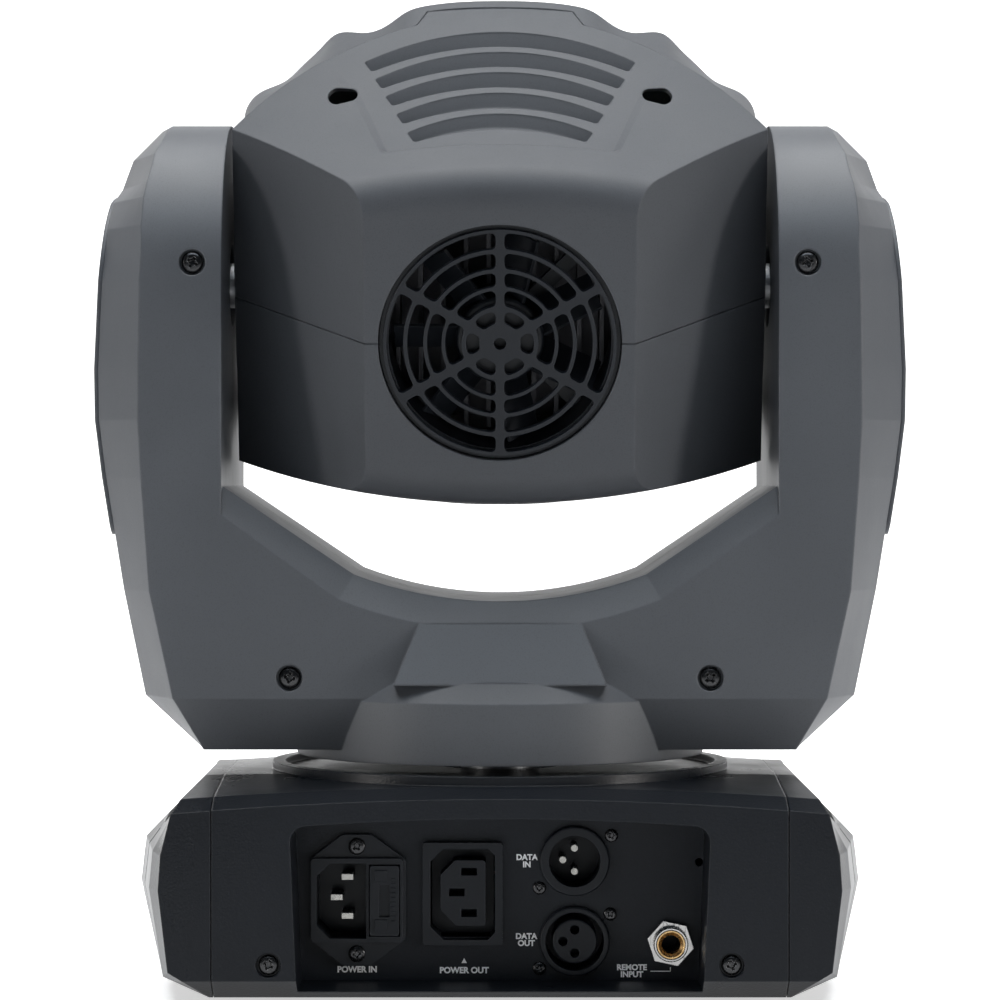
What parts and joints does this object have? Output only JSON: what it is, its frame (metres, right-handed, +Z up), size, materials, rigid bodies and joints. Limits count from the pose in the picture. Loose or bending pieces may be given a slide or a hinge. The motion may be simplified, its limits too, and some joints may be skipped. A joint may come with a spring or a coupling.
{
  "type": "moving head light",
  "caption": "Stage moving head light on a wide base: a yoke that pans on the base and a tilting head with a lens in front and a fan grille behind.",
  "frame": {"origin": "on the floor under the feet, on the pan axis", "axes": "+Z up along the pan axis; the beam and the menu display face -Y, the connectors face +Y, the tilt axis runs along X"},
  "size_m": [0.2844, 0.191, 0.3506],
  "materials": {
    "charcoal_plastic": "fine moulded grain",
    "head_plastic": "fine moulded grain",
    "base_plastic": "coarse moulded grain",
    "black_plastic": "satin black moulding",
    "plate_paint": "fine textured black paint",
    "screw_black": "black oxide, glossy",
    "chrome": "bright plating",
    "gold_contact": "plated contact",
    "silver_contact": "plated contact",
    "rubber": "matt",
    "steel": "zinc plated",
    "motor_steel": "black stepper motor",
    "aluminium": "machined",
    "heat_sink": "black anodised",
    "belt": "toothed belt",
    "circuit": "green circuit board",
    "lens_glass": "polished",
    "fuse_glass": "clear tube with metal caps",
    "display_glass": "tinted window",
    "led_white": "phosphor",
    "wheel_paint": "matt black disc",
    "button_plastic": "satin cap"
  },
  "bodies": {
    "base": {"base_tray": "plate_paint", "rubber_feet": "rubber", "base_rear_cover": "base_plastic", "base_front_cover": "base_plastic", "base_side_cap_left": "base_plastic", "base_side_cap_right": "base_plastic", "base_top_cover": "base_plastic", "connector_plate": "plate_paint", "power_inlet": "black_plastic", "power_outlet": "black_plastic", "data_in_socket": "black_plastic", "data_out_socket": "black_plastic", "data_out_insert": "black_plastic", "connector_pins": "silver_contact", "remote_jack": "black_plastic", "remote_jack_thread": "chrome", "remote_jack_sleeve": "gold_contact", "remote_jack_nut": "chrome", "connector_screws": "screw_black", "base_screws": "screw_black", "display_window": "display_glass", "control_board": "circuit", "power_supply_board": "circuit", "pan_shaft": "steel", "pan_pulley": "aluminium"},
    "yoke": {"yoke_frame": "steel", "yoke_rear_cover": "charcoal_plastic", "yoke_front_cover": "charcoal_plastic", "arm_cap_left": "charcoal_plastic", "arm_cap_right": "charcoal_plastic", "yoke_screws": "screw_black", "yoke_bearings": "steel", "pan_motor": "motor_steel", "pan_belt": "belt", "tilt_motor": "motor_steel", "tilt_belt": "belt"},
    "head": {"head_upper_shell": "head_plastic", "head_lower_shell": "head_plastic", "front_shell": "head_plastic", "front_bezel": "head_plastic", "front_lens": "lens_glass", "fan_grille": "black_plastic", "fan_housing": "black_plastic", "heat_sink": "heat_sink", "led_module": "led_white", "head_chassis": "steel", "tilt_shafts": "steel", "tilt_pulley": "aluminium", "wheel_motors": "motor_steel"},
    "fuse_drawer": {"fuse_drawer": "black_plastic", "fuse": "fuse_glass"},
    "pan_pinion": {"pan_pinion": "aluminium"},
    "tilt_pinion": {"tilt_pinion": "aluminium"},
    "fan_rotor": {"fan_rotor": "black_plastic"},
    "colour_wheel": {"colour_wheel": "wheel_paint"},
    "gobo_wheel": {"gobo_wheel": "wheel_paint"},
    "focus": {"focus_carriage": "wheel_paint", "focus_lens": "lens_glass"},
    "menu_button_1": {"menu_button_1": "button_plastic"},
    "menu_button_2": {"menu_button_2": "button_plastic"},
    "menu_button_3": {"menu_button_3": "button_plastic"},
    "menu_button_4": {"menu_button_4": "button_plastic"}
  },
  "joints": [
    {"name": "pan", "type": "hinge", "parent": "base", "child": "yoke", "pos_m": [0, 0, 0.08], "axis": [0, 0, 1], "range_deg": [-270, 270]},
    {"name": "tilt", "type": "hinge", "parent": "yoke", "child": "head", "pos_m": [0, 0, 0.2466], "axis": [1, 0, 0], "range_deg": [-188, 42]},
    {"name": "pan_pinion_spin", "type": "hinge", "parent": "yoke", "child": "pan_pinion", "pos_m": [0.074, 0, 0.101], "axis": [0, 0, 1], "range_deg": [-1420, 1420]},
    {"name": "tilt_pinion_spin", "type": "hinge", "parent": "yoke", "child": "tilt_pinion", "pos_m": [0.1065, 0, 0.172], "axis": [1, 0, 0], "range_deg": [-745, 175]},
    {"name": "fan_spin", "type": "hinge", "parent": "head", "child": "fan_rotor", "pos_m": [0, 0, 0.2466], "axis": [0, -0.9563, 0.2924], "continuous": true},
    {"name": "colour_wheel_spin", "type": "hinge", "parent": "head", "child": "colour_wheel", "pos_m": [0, -0.00877, 0.21791], "axis": [0, -0.9563, 0.2924], "continuous": true},
    {"name": "gobo_wheel_spin", "type": "hinge", "parent": "head", "child": "gobo_wheel", "pos_m": [0, 0.00877, 0.27529], "axis": [0, -0.9563, 0.2924], "continuous": true},
    {"name": "focus_slide", "type": "slide", "parent": "head", "child": "focus", "axis": [0, -0.9563, 0.2924], "range_m": [-0.008, 0.014]},
    {"name": "fuse_drawer_slide", "type": "slide", "parent": "base", "child": "fuse_drawer", "axis": [0, 1, 0], "range_m": [0, 0.016]},
    {"name": "menu_button_1_press", "type": "slide", "parent": "base", "child": "menu_button_1", "axis": [0, 1, 0], "range_m": [0, 0.0012], "stiffness_N_per_m": 400},
    {"name": "menu_button_2_press", "type": "slide", "parent": "base", "child": "menu_button_2", "axis": [0, 1, 0], "range_m": [0, 0.0012], "stiffness_N_per_m": 400},
    {"name": "menu_button_3_press", "type": "slide", "parent": "base", "child": "menu_button_3", "axis": [0, 1, 0], "range_m": [0, 0.0012], "stiffness_N_per_m": 400},
    {"name": "menu_button_4_press", "type": "slide", "parent": "base", "child": "menu_button_4", "axis": [0, 1, 0], "range_m": [0, 0.0012], "stiffness_N_per_m": 400}
  ],
  "couplings": [
    {"joint": "pan_pinion_spin", "follows": "pan", "ratio": -5.2105},
    {"joint": "tilt_pinion_spin", "follows": "tilt", "ratio": 3.8947}
  ]
}
